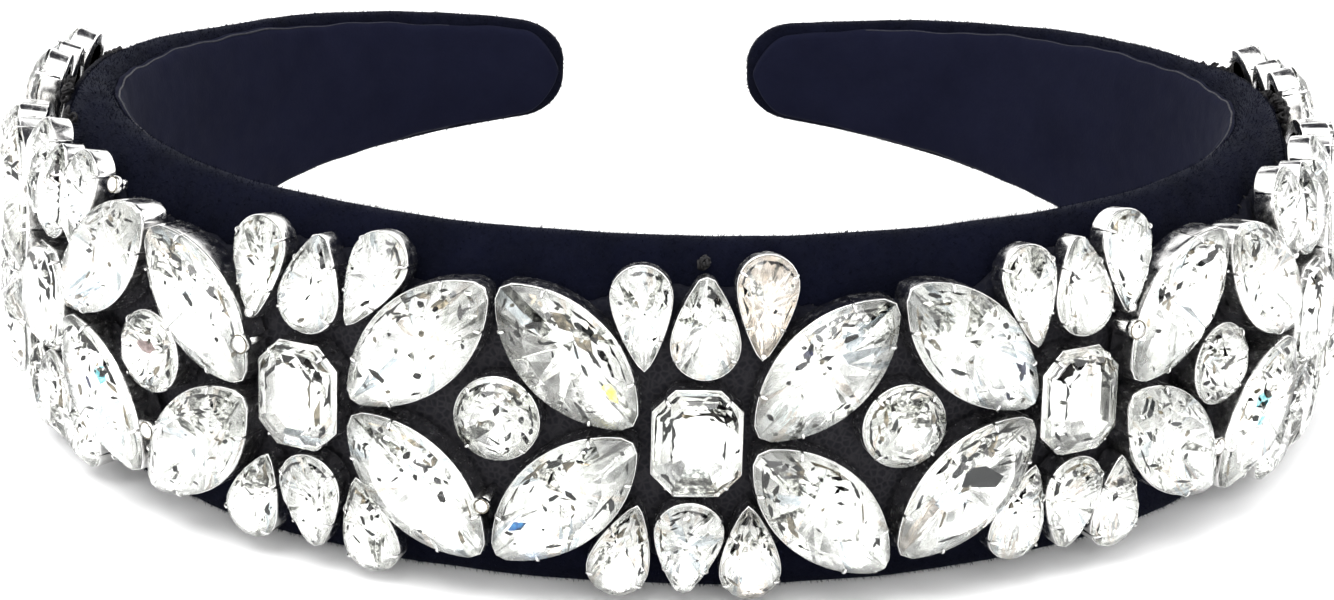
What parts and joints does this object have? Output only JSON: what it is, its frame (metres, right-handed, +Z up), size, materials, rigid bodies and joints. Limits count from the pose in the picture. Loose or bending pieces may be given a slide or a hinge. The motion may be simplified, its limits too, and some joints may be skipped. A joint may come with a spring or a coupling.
{
  "type": "headband",
  "caption": "Padded velvet headband with claw-set cut-glass stones sewn along its outer face in flowers and clusters, shown lying on its edge.",
  "frame": {"origin": "middle of the bounding box at its base, on the surface that the band lies on", "axes": "+X to the wearer's side that is right in the picture, -Y toward the front middle of the crown's outer face, +Z up, across the band's width as it lies on its edge"},
  "size_m": [0.1544, 0.14, 0.039],
  "materials": {
    "velvet": "short dense pile, near-black navy",
    "facing": "smooth matte cloth, dark navy",
    "net": "black net and thread",
    "crystal": "cut clear glass, mirror-foiled at the back",
    "settings": "bright silver-coloured plating"
  },
  "bodies": {
    "root": {"band": "velvet", "lining": "facing", "backing": "net", "marquise_settings": "settings", "round_settings": "settings", "octagon_settings": "settings", "pear_settings_high": "settings", "pear_settings_low": "settings", "marquise_01": "crystal", "marquise_02": "crystal", "marquise_03": "crystal", "marquise_04": "crystal", "marquise_05": "crystal", "marquise_06": "crystal", "marquise_07": "crystal", "marquise_08": "crystal", "marquise_09": "crystal", "marquise_10": "crystal", "marquise_11": "crystal", "marquise_12": "crystal", "marquise_13": "crystal", "marquise_14": "crystal", "marquise_15": "crystal", "marquise_16": "crystal", "marquise_17": "crystal", "marquise_18": "crystal", "marquise_19": "crystal", "marquise_20": "crystal", "marquise_21": "crystal", "marquise_22": "crystal", "marquise_23": "crystal", "marquise_24": "crystal", "round_01": "crystal", "round_02": "crystal", "round_03": "crystal", "round_04": "crystal", "round_05": "crystal", "round_06": "crystal", "octagon_01": "crystal", "octagon_02": "crystal", "octagon_03": "crystal", "octagon_04": "crystal", "octagon_05": "crystal", "octagon_06": "crystal", "octagon_07": "crystal", "pears_high": "crystal", "pears_low": "crystal"}
  },
  "joints": []
}
